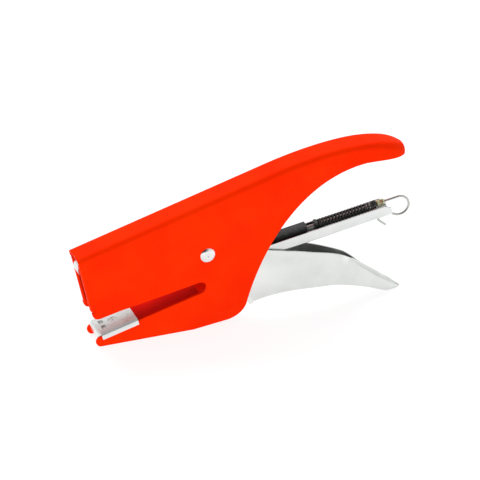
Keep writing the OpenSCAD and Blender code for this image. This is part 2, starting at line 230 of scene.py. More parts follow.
class Skin:
    """A folded sheet: one set of faces, with a point on each side of the sheet."""

    def __init__(self):
        self.outer, self.inner, self.faces, self.known = [], [], [], {}

    def at(self, pair):
        key = tuple(round(c, 4) for point in pair for c in point)
        if key not in self.known:
            self.known[key] = len(self.outer)
            self.outer.append(tuple(pair[0]))
            self.inner.append(tuple(pair[1]))
        return self.known[key]

    def face(self, pairs):
        ids = []
        for pair in pairs:
            index = self.at(pair)
            if index not in ids:
                ids.append(index)
        if len(ids) > 2:
            self.faces.append(tuple(ids))

    def strips(self, rows):
        for a, b in zip(rows, rows[1:]):
            for i in range(len(a) - 1):
                self.face([a[i], a[i + 1], b[i + 1], b[i]])

    def both(self, draw):
        """Adds what draw(skin) adds, and its mirror image across Y = 0."""
        half = Skin()
        draw(half)
        for ids in half.faces:
            pairs = [(half.outer[i], half.inner[i]) for i in ids]
            self.face(pairs)
            self.face([(flipped(a), flipped(b)) for a, b in reversed(pairs)])

    def piece(self, name, place=as_drawn):
        """The closed sheet: its two sides, and a rim along every edge that has one face."""
        count = len(self.outer)
        faces = list(self.faces)
        faces += [tuple(count + i for i in reversed(ids)) for ids in self.faces]
        used = Counter()
        for ids in self.faces:
            used.update(tuple(sorted(edge)) for edge in zip(ids, ids[1:] + ids[:1]))
        rims = [edge for edge, times in sorted(used.items()) if times == 1]
        faces += [(b, a, a + count, b + count) for a, b in rims]
        return make_mesh(name, self.outer + self.inner, faces, place)


def ring_points(sides):
    """The (cosine, sine) of each corner round a section."""
    turns = [2 * math.pi * k / sides for k in range(sides)]
    return [(math.cos(a), math.sin(a)) for a in turns]


def tube_faces(count, sides):
    """Faces of a closed tube of count sections."""
    faces = []
    for i in range(count - 1):
        for k in range(sides):
            n = (k + 1) % sides
            faces.append((i * sides + k, i * sides + n, (i + 1) * sides + n, (i + 1) * sides + k))
    faces.append(tuple(reversed(range(sides))))
    faces.append(tuple((count - 1) * sides + k for k in range(sides)))
    return faces


END_STEP = 0.6
WIRE_SHADE = 60


def sweep(name, path, radius, across, place, sides):
    """A wire of round section along a path, with domed ends."""
    rows = []
    last = len(path) - 1
    for i, centre in enumerate(path):
        a, b = Vector(path[max(0, i - 1)]), Vector(path[min(last, i + 1)])
        along_wire = (b - a).normalized()
        side = along_wire.cross(Vector(across)).normalized()
        up = side.cross(along_wire)
        rows.append((Vector(centre), along_wire, side, up, radius))
    first, final = rows[0], rows[-1]
    for share in (0.75, 0.4):
        step = radius * math.sqrt(1 - share * share) * END_STEP
        rows.insert(0, (first[0] - first[1] * step, *first[1:4], radius * share))
        rows.append((final[0] + final[1] * step, *final[1:4], radius * share))
    corners = ring_points(sides)
    points = []
    for centre, _, side, up, r in rows:
        points += [centre + side * (r * c) + up * (r * s) for c, s in corners]
    piece = make_mesh(name, points, tube_faces(len(rows), sides), place)
    shade(piece, WIRE_SHADE)
    return piece


def turned(name, profile, place, sides=48):
    """A turned part about its local X axis, from (along, radius) points."""
    points = [(x, r * c, r * s) for x, r in profile for c, s in ring_points(sides)]
    return make_mesh(name, points, tube_faces(len(profile), sides), place)


# ---- Materials ----
class Nodes:
    """A material's nodes, with short calls for the ones that repeat."""

    def __init__(self, name):
        self.material = bpy.data.materials.new(name)
        self.material.use_nodes = True
        self.tree = self.material.node_tree
        self.shader = self.tree.nodes["Principled BSDF"]
        self.place = self.add("ShaderNodeTexCoord").outputs["Object"]

    def add(self, kind, **settings):
        node = self.tree.nodes.new(kind)
        for key, value in settings.items():
            setattr(node, key, value)
        return node

    def link(self, a, b):
        self.tree.links.new(a, b)

    def stretched(self, scale):
        """Object coordinates, stretched for brushing along one direction."""
        mapping = self.add("ShaderNodeMapping")
        mapping.inputs["Scale"].default_value = scale
        self.link(self.place, mapping.inputs["Vector"])
        return mapping.outputs["Vector"]

    def noise(self, scale, detail, vector=None):
        node = self.add("ShaderNodeTexNoise")
        node.inputs["Scale"].default_value = scale
        node.inputs["Detail"].default_value = detail
        self.link(vector or self.place, node.inputs["Vector"])
        return node.outputs["Fac"]

    def ramp(self, value, stops):
        node = self.add("ShaderNodeValToRGB")
        elements = node.color_ramp.elements
        while len(elements) < len(stops):
            elements.new(0.5)
        for element, (position, colour) in zip(elements, stops):
            element.position = position
            element.color = (*colour, 1)
        self.link(value, node.inputs["Fac"])
        return node.outputs["Color"]

    def span(self, value, low, high, start=0.0, end=1.0):
        node = self.add("ShaderNodeMapRange")
        node.inputs["From Min"].default_value = start
        node.inputs["From Max"].default_value = end
        node.inputs["To Min"].default_value = low
        node.inputs["To Max"].default_value = high
        self.link(value, node.inputs["Value"])
        return node.outputs["Result"]

    def mix(self, factor, a, b):
        node = self.add("ShaderNodeMix", data_type="RGBA")
        for socket, value in zip((node.inputs[0], node.inputs[6], node.inputs[7]), (factor, a, b)):
            if isinstance(value, (int, float)):
                socket.default_value = value
            elif isinstance(value, tuple):
                socket.default_value = (*value, 1)
            else:
                self.link(value, socket)
        return node.outputs[2]

    def times(self, a, b):
        node = self.add("ShaderNodeMath", operation="MULTIPLY")
        self.link(a, node.inputs[0])
        self.link(b, node.inputs[1])
        return node.outputs[0]

    def edges(self, start=0.52, end=0.6):
        """How sharp an edge is, from the shape's own pointiness; it masks edge wear on the paint and
        painted edge highlights on the metals.
        """
        point = self.add("ShaderNodeNewGeometry").outputs["Pointiness"]
        return self.span(point, 0.0, 1.0, start, end)

    def bump(self, height, strength, distance, under=None):
        node = self.add("ShaderNodeBump")
        node.inputs["Strength"].default_value = strength
        node.inputs["Distance"].default_value = distance * MM
        self.link(height, node.inputs["Height"])
        if under is not None:
            self.link(under, node.inputs["Normal"])
        return node.outputs["Normal"]

    def finish(self, colour, roughness, normal):
        self.link(colour, self.shader.inputs["Base Color"])
        self.link(roughness, self.shader.inputs["Roughness"])
        self.link(normal, self.shader.inputs["Normal"])
        return self.material


def shades(colour, low, high):
    return tuple(c * low for c in colour), tuple(min(1.0, c * high) for c in colour)


WORN_PAINT = (0.75, 0.05, 0.02)
PAINT_SPECULAR = 0.012


def red_paint(name, low, high):
    """Baked paint: slight clouds of colour, orange peel, and patches of wear on the edges."""
    n = Nodes(name)
    cloud = n.noise(60, 3)
    colour = n.ramp(cloud, [(0.35, low), (0.65, high)])
    patch = n.span(n.noise(900, 4), 0.0, 0.5, 0.55, 0.75)
    colour = n.mix(n.times(n.edges(0.56, 0.7), patch), colour, WORN_PAINT)
    roughness = n.span(n.noise(420, 5), 0.3, 0.46)
    peel = n.bump(n.noise(1500, 2), 0.09, 0.12)
    normal = n.bump(n.noise(5200, 3), 0.04, 0.03, peel)
    n.shader.inputs["Specular IOR Level"].default_value = PAINT_SPECULAR
    return n.finish(colour, roughness, normal)


def plated(name, colour, low, high, brush, brush_scale, grain, metallic=1.0):
    """Plated steel, with roughness from low to high: drawing marks, mottling, and sharp edges made
    brighter as a painted highlight.
    """
    n = Nodes(name)
    marks = n.noise(brush_scale, 6, n.stretched(brush))
    mottle = n.noise(140, 3)
    dark, bright = shades(colour, 0.93, 1.03)
    base = n.ramp(mottle, [(0.3, dark), (0.7, bright)])
    base = n.mix(n.span(marks, 0.0, 0.22, 0.45, 0.7), base, shades(colour, 0.84, 1)[0])
    # Painted highlight: the sharp edges get a brighter metal colour.
    base = n.mix(n.edges(), base, shades(colour, 1, 1.12)[1])
    blend = n.mix(0.5, marks, mottle)
    grey = n.add("ShaderNodeRGBToBW")
    n.link(blend, grey.inputs[0])
    roughness = n.span(grey.outputs[0], low, high, 0.35, 0.65)
    ripple = n.bump(n.noise(260, 2), 0.05, 0.25)
    normal = n.bump(marks, grain, 0.03, ripple)
    n.shader.inputs["Metallic"].default_value = metallic
    return n.finish(base, roughness, normal)


OXIDE_METALLIC = 0.55


def blackened(name, colour, edge, low, high):
    """Black oxide on steel: nearly black, with lighter edges that are partly rubbed wear and partly
    painted highlight.
    """
    n = Nodes(name)
    cloud = n.noise(260, 4)
    dark, bright = shades(colour, 0.7, 1.4)
    base = n.ramp(cloud, [(0.3, dark), (0.7, bright)])
    rub = n.span(n.noise(1400, 4), 0.25, 1.0, 0.35, 0.7)
    # Lighter colour on the sharp edges, in random patches: rubbed wear, and also a painted highlight
    # where the edges catch the light.
    base = n.mix(n.times(n.edges(0.53, 0.66), rub), base, edge)
    roughness = n.span(n.noise(700, 4), low, high)
    normal = n.bump(n.noise(2600, 3), 0.12, 0.05)
    n.shader.inputs["Metallic"].default_value = OXIDE_METALLIC
    return n.finish(base, roughness, normal)


def rubbery(name, colour):
    """Dull black rubber with a fine, clouded grain."""
    n = Nodes(name)
    cloud = n.noise(300, 4)
    dark, bright = shades(colour, 0.8, 1.25)
    base = n.ramp(cloud, [(0.3, dark), (0.7, bright)])
    roughness = n.span(n.noise(900, 3), 0.55, 0.72)
    return n.finish(base, roughness, n.bump(n.noise(3000, 3), 0.2, 0.05))


PAINT = red_paint("red_paint", (0.97, 0.022, 0.0002), (1.0, 0.029, 0.0003))
# A darker copy of the body's red paint: painted shade for the jaw liner, deep in the throat where
# little light falls.
SHADED_PAINT = red_paint("red_paint_painted_shade", (0.56, 0.002, 0.0003), (0.62, 0.004, 0.0004))
CHROME = plated("chrome_plate", (0.72, 0.735, 0.728), 0.2, 0.32, (1, 12, 14), 700, 0.05)
SATIN = plated("lever_nickel", (0.76, 0.785, 0.765), 0.3, 0.44, (1, 12, 14), 600, 0.07)
NICKEL = plated("nickel_plate", (0.8, 0.81, 0.79), 0.16, 0.3, (3, 10, 3), 1000, 0.08)
STRIKER = plated("anvil_nickel", (0.8, 0.84, 0.825), 0.26, 0.38, (3, 10, 3), 1000, 0.08, metallic=0.72)
POLISHED = plated("rivet_nickel", (0.83, 0.83, 0.83), 0.1, 0.2, (1, 1, 1), 1600, 0.04)
WIRE = plated("bright_wire", (0.5, 0.515, 0.49), 0.2, 0.34, (1, 6, 6), 1800, 0.05)
ZINC = plated("zinc_plate", (0.6, 0.62, 0.58), 0.3, 0.45, (1, 1, 1), 1300, 0.08)
YELLOW = plated("yellow_zinc", (0.64, 0.67, 0.42), 0.28, 0.42, (1, 1, 1), 1500, 0.08)
OXIDE = blackened("black_oxide", (0.022, 0.025, 0.025), (0.22, 0.23, 0.23), 0.28, 0.45)
SPRING = blackened("spring_steel", (0.035, 0.038, 0.038), (0.16, 0.17, 0.17), 0.32, 0.46)
RUBBER = rubbery("black_rubber", (0.02, 0.02, 0.022))


# ---- Body: one sheet, folded along the back ----
FRONT_TOP = (-81.5, 46.2)
FRONT_LOW = (-74.8, 17.5)
FRONT_RUN = (FRONT_LOW[0] - FRONT_TOP[0]) / (FRONT_TOP[1] - FRONT_LOW[1])
BACK_BEND = (9.7, 72.2)
ROOF_FRONT_Z = 46.4
ROOF_SLOPE = (BACK_BEND[1] - ROOF_FRONT_Z) / (BACK_BEND[0] - FRONT_TOP[0])
HANDLE_FROM = (58, 70.6)
HANDLE_LOW = 70.2
HANDLE_FLAT = 76
TIP_FROM = 66
TIP_REACH = 12.4
TIP_BLUNT = 2.5
FOLD_R = 2.5
FOLD_GROWTH, FOLD_GROWS_FROM, FOLD_GROWS_TO = 1.2, 52, 78
FOLD_SHARE = 0.85
FOLD_ROOM = 0.75
LEAST_FOLD = 0.3
LEAST_HALF = 0.25
LEAST_SIDE = 0.02
SIDE_SHARES = (0, 0.33, 0.67)
LIP_BEND = 1.5
LIP_EDGE = 3.75
LIP_TOP, LIP_FOOT = 42.8, 18.4
RELIEF = 0.35

BACK_CURVE = bez([BACK_BEND, (34, 79.4), (63.5, 83.5), (77, 74.9)], 60)
BACK_CURVE += bez([(77, 74.9), (77.8, 74.1), (78.3, 72.7), (78.4, 71.1)], 10)[1:]
BACK_LINE = [(FRONT_TOP[0] - 5, ROOF_FRONT_Z - 5 * ROOF_SLOPE)] + BACK_CURVE


def front_x(z):
    return FRONT_LOW[0] - (z - FRONT_LOW[1]) * FRONT_RUN


def front_z(drop):
    """Height at which the front plane meets the roof, let down by drop."""
    level = ROOF_FRONT_Z - drop + ROOF_SLOPE * (front_x(0) - FRONT_TOP[0])
    return level / (1 + ROOF_SLOPE * FRONT_RUN)


class Station:
    """The body's cross-section at one place along the back, narrower in the rounded tip."""

    def __init__(self, x):
        self.x = x
        self.top = height_at(BACK_LINE, x)
        turn = min(1.0, max(0.0, (x - TIP_FROM) / TIP_REACH))
        self.half = BODY_HALF * (1 - turn ** TIP_BLUNT) ** (1 / TIP_BLUNT)
        wider = FOLD_R + FOLD_GROWTH * ease(x, FOLD_GROWS_FROM, FOLD_GROWS_TO)
        self.fold = min(wider, self.half * FOLD_SHARE)
        if x > HANDLE_FROM[0]:
            room = max(LEAST_FOLD, self.top - HANDLE_LOW)
            self.fold = min(self.fold, room * FOLD_ROOM)
        self.turn = turn

    def point(self, inset, part, share):
        """part is side, fold or roof; share runs up or across it, from 0 to 1."""
        half = max(self.half - inset, min(self.half, LEAST_HALF))
        fold = max(min(self.fold - inset, half * FOLD_SHARE), min(half * 0.5, LEAST_FOLD))
        top = self.top - inset
        x = self.x - inset * self.turn
        if part == "side":
            settled = ease(self.x, HANDLE_FROM[0], HANDLE_FLAT)
            foot = HANDLE_FROM[1] + (HANDLE_LOW - HANDLE_FROM[1]) * settled
            return (x, -half, foot + (max(top - fold, foot + LEAST_SIDE) - foot) * share)
        if part == "fold":
            a = math.pi / 2 * share
            drop = fold * (1 - math.sin(a))
            y = -half + fold * (1 - math.cos(a))
            return (x, y, top - drop)
        return (x, (-half + fold) * (1 - share), top)


class FrontStation(Station):
    """The first section, which lies in the leaning plane of the front."""

    def point(self, inset, part, share):
        x, y, z = super().point(inset, part, share)
        z = front_z(self.top - z)
        return (front_x(z), y, z)


def body_side():
    """The side's outline in two runs: under the jaw to the handle, and nose to throat."""
    jaw_tip = arc((-70.4, 2.5), 2.5, 105.3, 270, 16)
    rear = bez([(-9.5, 2), (-4.5, 2.8), (-1, 6), (-0.2, 9.5)], 12)
    rear += bez([(-0.2, 9.5), (6, 32), (24, 67.5), HANDLE_FROM], 44)[1:]
    nose = bez([FRONT_LOW, (-74.1, 14.2), (-72.5, 13.9), (-68, 15.2)], 10)
    throat = arc((-22.7, 21.1), 2.9, 100, -73, 20)
    return jaw_tip + [(-26, 0)] + rear, nose + [(-62, 16.6)] + throat


def body_shell():
    skin = Skin()
    first = [FrontStation(FRONT_TOP[0])]
    straight = [Station(x) for x in (-76, -62, -46, -30, -14, 0, BACK_BEND[0])]
    curved = [Station(x) for x in spread(12, 56, 22)]
    handle = [Station(x) for x in spread(HANDLE_FROM[0], TIP_FROM, 4)]
    tip_angles = in_radians((8, 16, 24, 32, 40, 48, 56, 63, 69, 74, 78, 81, 84, 86.5))
    tip = [Station(TIP_FROM + TIP_REACH * math.sin(a)) for a in tip_angles]
    stations = first + straight + curved + handle + tip
    open_side = handle + tip
    folds = spread(0, 1, 8)

    def pair(station, part, share):
        return (station.point(0, part, share), station.point(SHEET, part, share))

    def plate_pair(x, z):
        return ((x, -BODY_HALF, z), (x, SHEET - BODY_HALF, z))

    def draw_half(half):
        lower, upper = body_side()
        rise = [pair(handle[0], "side", share) for share in SIDE_SHARES]
        fold_line = [pair(s, "fold", 0) for s in first + straight + curved + handle[:1]]
        lip_rows = spread(LIP_TOP, LIP_FOOT, 14)
        bend = [plate_pair(front_x(z) + LIP_BEND, z) for z in lip_rows]

        def notch(z, behind):
            """The relief at one end of the lip, between the front edge and the lip's bend."""
            return [plate_pair(front_x(z) + a, z) for a in behind]

        outline = [plate_pair(*p) for p in lower[:-1]] + rise + fold_line[::-1]
        outline += notch(LIP_TOP + RELIEF, (0, LIP_BEND)) + bend
        outline += notch(LIP_FOOT - RELIEF, (LIP_BEND, 0)) + [plate_pair(*p) for p in upper]
        half.face(outline)

        rows = [[pair(s, "fold", share) for s in stations] for share in folds]
        rows.append([pair(s, "roof", 1) for s in stations])
        half.strips(rows)
        rows = [[pair(s, "side", share) for s in open_side] for share in SIDE_SHARES]
        rows.append([pair(s, "fold", 0) for s in open_side])
        half.strips(rows)

        def lip_column(angle, flat):
            column = []
            for z in lip_rows:
                pairs = []
                for inset in (0, SHEET):
                    r = LIP_BEND - inset
                    x = front_x(z) + LIP_BEND - r * math.sin(angle)
                    y = LIP_BEND - BODY_HALF - r * math.cos(angle) + flat
                    pairs.append((x, y, z))
                column.append(tuple(pairs))
            return column[::-1]

        columns = [lip_column(a, 0) for a in in_radians(spread(0, 90, 6))]
        columns.append(lip_column(math.pi / 2, BODY_HALF - LIP_BEND - LIP_EDGE))
        half.strips(columns)

    skin.both(draw_half)
    end = [pair(tip[-1], "side", share) for share in SIDE_SHARES]
    end += [pair(tip[-1], "fold", share) for share in folds]
    end += [pair(tip[-1], "roof", 1)]
    across = end + [(flipped(a), flipped(b)) for a, b in reversed(end[:-1])]
    skin.face(across[::-1])
    piece = skin.piece("body_skin")
    soften(piece, 0.2)
    place_piece(piece, "housing", "red_paint", PAINT, "body_shell")


# ---- Lever: a bent channel that narrows, with its edges rolled together at the end ----
LEVER_SHEET = 0.9
LEVER_BEND = 1.6
GRIP_HALF = 3.5
NARROW_FROM, NARROW_TO = 31, 48
NOSE_FROM = 66
CLOSE_FROM, CLOSE_TO = 49, 57
CLOSE_RISE = 1.5
CREST_FROM, FULL_ROOM = 10, 9
SEAM_HALF = 0.08
EYE_AT, EYE_LONG, EYE_HALF = 72.3, 2.2, 0.7
FLOOR_FROM = 3.6
PIVOT_BORE, PIN_BORE = 2.35, 1.5
LEVER_UNDER = bez([(1.7, 6.8), (12, 10.6), (42, 12), (70.5, -1.5)], 50)
LEVER_UNDER += bez([(70.5, -1.5), (73, -2.4), (75.5, -2.4), (LEVER_TIP, -1.2)], 12)[1:]
LEVER_TOP = bez([(53.9, 18.5), (47.5, 24.2), (32, 28.4), (9.9, 33.7)], 30)
LEVER_NOSE = bez([(LEVER_TIP, 0.3), (70.5, 6), (64, 9), (54, 18.4)], 30)
LEVER_CREST = sorted(LEVER_TOP + LEVER_NOSE)


class LeverStation:
    """The lever's cross-section: turn, in degrees, runs round its rounded end in plan."""

    def __init__(self, x, turn=0):
        self.turn = math.radians(turn)
        self.start = x
        self.half = LEVER_HALF - (LEVER_HALF - GRIP_HALF) * ease(x, NARROW_FROM, NARROW_TO)
        edge = self.plan(0)[0]
        room = FULL_ROOM
        if edge > CREST_FROM:
            room = height_at(LEVER_CREST, edge) - height_at(LEVER_UNDER, edge)
        self.bend = min(LEVER_BEND, room * 0.5)
        self.closed = ease(edge, CLOSE_FROM, CLOSE_TO)
        self.rise = min(CLOSE_RISE, room * 0.4) * self.closed
        self.seam = SEAM_HALF + EYE_HALF * max(0.0, 1 - ((edge - EYE_AT) / EYE_LONG) ** 2)

    def plan(self, inset):
        reach = LEVER_TIP - NOSE_FROM - inset
        x = self.start + reach * math.sin(self.turn)
        return x, (inset - self.half) * math.cos(self.turn)

    def wall(self, share):
        """A pair of points up the wall, from the bend to the top edge."""
        pairs = []
        crest = height_at(LEVER_CREST, self.plan(0)[0]) - self.rise
        for inset in (0, LEVER_SHEET):
            x, y = self.plan(inset)
            low = height_at(LEVER_UNDER, x) + self.bend
            pairs.append((x, y, low + (crest - low) * share))
        return tuple(pairs)

    def folded_over(self, angle):
        """A pair of points on the edge where it is rolled in to meet the other wall."""
        pairs = []
        crest = height_at(LEVER_CREST, self.plan(0)[0])
        for inset in (0, LEVER_SHEET):
            reach = (self.half - inset - self.seam) * self.closed * (1 - math.cos(angle))
            x, y = self.plan(inset + max(0.0, reach))
            sink = inset * math.sin(angle) * self.closed
            pairs.append((x, y, crest - self.rise * (1 - math.sin(angle)) - sink))
        return tuple(pairs)

    def bent(self, angle):
        """A pair of points round the bend between the wall and the floor."""
        pairs = []
        for inset in (0, LEVER_SHEET):
            small = max(self.bend - inset, 0.2)
            x, y = self.plan(inset + small * (1 - math.cos(angle)))
            z = height_at(LEVER_UNDER, x) + inset + (self.bend - inset) * (1 - math.sin(angle))
            pairs.append((x, y, z))
        return tuple(pairs)

    def middle(self):
        return tuple((x, 0, z) for x, _, z in self.bent(math.pi / 2))


def lever_pin_at():
    """The hammer pin's place, in the lever's drawing."""
    low, high = box_mm("hammer_pin")
    return ((low.x + high.x) / 2, (low.z + high.z) / 2 - LIFT)


def lever_skin():
    skin = Skin()
    flat = [LeverStation(x) for x in spread(FLOOR_FROM, NARROW_FROM, 16)]
    shaped = [LeverStation(x) for x in spread(NARROW_FROM, NOSE_FROM, 24)]
    shaped += [LeverStation(NOSE_FROM, turn) for turn in spread(0, 90, 16)[1:]]
    bends = in_radians(spread(0, 90, 6))
    shares = (0.33, 0.67, 1)

    def plate(x, z):
        return ((x, -LEVER_HALF, z), (x, LEVER_SHEET - LEVER_HALF, z))

    def draw_half(half):
        head = arc((PIVOT.x, PIVOT_DRAWN), 5.6, 60, 90, 6) + arc(lever_pin_at(), 3, 90, 270, 20)
        head += [(-25, 32.2), (-17, 30.5), (-9, 24), (1.7, 6.8)]
        outline = [shaped[0].wall(share) for share in shares]
        outline += [plate(*p) for p in LEVER_TOP if p[0] < NARROW_FROM - 0.1]
        outline += [plate(*p) for p in head]
        outline += [plate(FLOOR_FROM - 0.1, height_at(LEVER_UNDER, FLOOR_FROM))]
        outline += [station.bent(0) for station in flat]
        half.face(outline)
        walls = [[s.wall(share) for s in shaped] for share in shares]
        rolled = [[s.folded_over(a) for s in shaped] for a in bends[1:]]
        half.strips([[s.bent(0) for s in shaped]] + walls + rolled)
        for stations in (flat, shaped):
            rows = [[s.bent(a) for s in stations] for a in bends]
            half.strips(rows + [[s.middle() for s in stations]])

    skin.both(draw_half)
    piece = skin.piece("lever_skin")
    carve(piece, drill(PIVOT_BORE, PIVOT.x, PIVOT_DRAWN), drill(PIN_BORE, *lever_pin_at()))
    soften(piece, 0.2)
    place_piece(piece, "lever", "chrome", SATIN, "lever_shell")


# ---- Magazine: a bent channel with a slot for the rod's hook ----
MAG_LOW, MAG_TOP = -12.7, -7.3
MAG_SHEET = 0.6
MAG_BEND = 1.0
MAG_NOSE, MAG_REAR = -55.4, 89.8
ROD_LEVEL = MAG_TOP + 0.3


def magazine_skin():
    skin = Skin()
    floor_from, slot_from, slot_half, hub = -54.5, 82, 0.95, 4.6
    wall_low = MAG_LOW + MAG_BEND
    front, back = [0, -30, floor_from], [MAG_REAR, 86, slot_from, 60, 30]
    xs = sorted(front + back)
    bends = in_radians(spread(0, 90, 6))

    def plate(x, z):
        return ((x, -MAG_HALF, z), (x, MAG_SHEET - MAG_HALF, z))

    def bent(x, angle):
        pairs = []
        for inset in (0, MAG_SHEET):
            small = MAG_BEND - inset
            y = inset - MAG_HALF + small * (1 - math.cos(angle))
            pairs.append((x, y, MAG_LOW + inset + small * (1 - math.sin(angle))))
        return tuple(pairs)

    def floor_row(row_xs, y):
        return [((x, -y, MAG_LOW), (x, -y, MAG_LOW + MAG_SHEET)) for x in row_xs]

    def draw_half(half):
        fore = [(x, wall_low) for x in front]
        fore += [(MAG_NOSE, wall_low), (MAG_NOSE, MAG_TOP), (-11, MAG_TOP)]
        fore += arc((0, 0), hub, 150, 90, 8) + arc((0, 0), PIVOT_BORE, 90, 270, 16)
        aft = arc((0, 0), PIVOT_BORE, -90, 90, 16) + arc((0, 0), hub, 90, 50, 6)
        aft += [(14.5, -1.4), (17, MAG_TOP), (MAG_REAR - 3.2, MAG_TOP), (MAG_REAR, MAG_TOP - 1.6)]
        aft += [(x, wall_low) for x in back] + [(0, wall_low)]
        half.face([plate(*p) for p in fore])
        half.face([plate(*p) for p in aft])
        half.strips([[bent(x, a) for x in xs] for a in bends] + [floor_row(xs, slot_half)])
        closed = [x for x in xs if x <= slot_from]
        half.strips([floor_row(closed, slot_half), floor_row(closed, 0)])

    skin.both(draw_half)
    piece = skin.piece("magazine_skin", in_magazine)
    soften(piece, 0.12)
    place_piece(piece, "magazine", "chrome", CHROME, "magazine_channel")


# ---- Rod, ring and ferrule ----
def pull_rod():
    """One wire: the rod, its ring, and the hook under the magazine's floor."""
    wire_r, sides = 0.54, 16
    ring_r, turn = 4.7, 210
    ring = (94.6, ROD_LEVEL - ring_r)
    last = math.radians(90 - turn)
    leave = (ring[0] + ring_r * math.cos(last), ring[1] + ring_r * math.sin(last))
    ahead = (leave[0] + 4 * math.sin(last), leave[1] - 4 * math.cos(last))
    line = [(x, ROD_LEVEL) for x in (-40, 0, 40, 80, 88, 91.5)]
    line += arc(ring, ring_r, 90, 90 - turn, 48)
    line += bez([leave, ahead, (88, -11.3), (85.4, -11.3)], 16)[1:]
    line += bez([(85.4, -11.3), (83.2, -11.3), (82.9, -14.5), (84.3, -16.5)], 14)[1:]
    line += [(86.6, -19.2)]
    path = [(x, 0, z) for x, z in line]
    piece = sweep("pull_rod_wire", path, wire_r, (0, 1, 0), in_magazine, sides)
    place_piece(piece, "rod", "chrome", WIRE, "pull_rod")


def ferrule():
    """A crimped sleeve, with one dimple from the crimping tool."""
    start, length, radius, bore = 84, 3.7, 1.45, 0.57
    dimple, dimple_r, dimple_depth = Vector((length / 2, -0.9, 1.13)), 0.85, 0.42
    squeeze, squeeze_half = 0.07, 1.4

    def place(p):
        deep = max(0.0, 1 - (Vector(p) - dimple).length / dimple_r)
        share = 1 - dimple_depth * smooth(deep)
        flat = 1 - squeeze * smooth(1 - abs(p[0] - length / 2) / squeeze_half)
        return in_magazine((start + p[0], p[1] * share * flat, ROD_LEVEL + p[2] * share * flat))

    end = [(0.02, bore), (0, radius - 0.3), (0.08, radius - 0.1), (0.3, radius)]
    profile = end + [(x, radius) for x in spread(0.5, length - 0.5, 18)]
    profile += [(length - x, r) for x, r in reversed(end)]
    piece = turned("crimped_ferrule", profile, place, 64)
    shade(piece, 50)
    place_piece(piece, "rod", "yellow_zinc", YELLOW, "rod_ferrule")


# ---- Springs ----
def coil(radius, wire, length, turns, closed, per_turn=24):
    """Points of a spring about X, from x = 0, with closed turns at both ends."""
    shut_gap = 0.06
    shut = 2 * wire + shut_gap
    pitch = (length - 2 * wire - 2 * closed * shut) / turns
    path = []
    for i in range(int((turns + 2 * closed) * per_turn) + 1):
        t = i / per_turn
        level = wire + min(t, closed) * shut + max(0, min(t - closed, turns)) * pitch
        level += max(0, t - closed - turns) * shut
        turn = 2 * math.pi * t
        path.append((level, radius * math.cos(turn), radius * math.sin(turn)))
    return path


def feed_spring():
    rear, front, wire, radius, turns, closed = 83.95, 55.05, 0.35, 1.75, 16, 2
    path = coil(radius, wire, rear - front, turns, closed)
    piece = sweep("feed_spring_wire", path, wire, (1, 0, 0),
                  lambda p: in_magazine((rear - p[0], p[1], ROD_LEVEL + p[2])), 8)
    piece.data.materials.append(SPRING)
    in_magazine((front, 0, ROD_LEVEL)) * MM
    in_magazine((rear, 0, ROD_LEVEL)) * MM
    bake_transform(piece)
    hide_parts("feed_spring")


def drive_spring():
    low, high = box_mm("drive_spring")
    radius, wire, turns, closed = 3, 0.5, 5, 1
    axis = (low + high) / 2
    path = coil(radius, wire, high.z - low.z, turns, closed)
    piece = sweep("drive_spring_wire", path, wire, (1, 0, 0),
                  lambda p: Vector((axis.x + p[1], p[2], low.z + p[0])), 10)
    piece.data.materials.append(SPRING)
    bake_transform(piece)
    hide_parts("drive_spring")


# ---- Anvil: a plated saddle on the jaw ----
ANVIL_HALF = box_mm("anvil_plate")[1].y
ANVIL_LONG, ANVIL_TOP, ANVIL_LOW = 18, 1.6, -1.5
ANVIL_NOSE = 1.5
DISH_AT, DISH_R = -9.75, 2.35
CLINCH_AT, CLINCH_APART, CLINCH_RISE = 15.1, 2.15, 0.25


def clinch_cutter(side):
    """A barrel across the jaw, which leaves the groove that bends one leg of a staple."""
    barrel = [(-1.5, 0.05), (-1.5, 1.0), (-1.3, 1.15), (1.3, 1.15), (1.5, 1.0), (1.5, 0.05)]

    def place(p):
        across = p[0] + CLINCH_APART * side
        return in_jaw((p[1] - CLINCH_AT, across, p[2] + ANVIL_TOP + CLINCH_RISE))

    return turned("groove", barrel, place)


def dish_cutter():
    """The shallow, round hollow that the anvil's rivet lies in."""
    dish = [(-0.75, DISH_R - 0.6), (-0.6, DISH_R - 0.2), (-0.35, DISH_R - 0.05), (2, DISH_R)]
    return turned("dish", dish, lambda p: in_jaw((p[1] + DISH_AT, p[2], p[0] + ANVIL_TOP)))


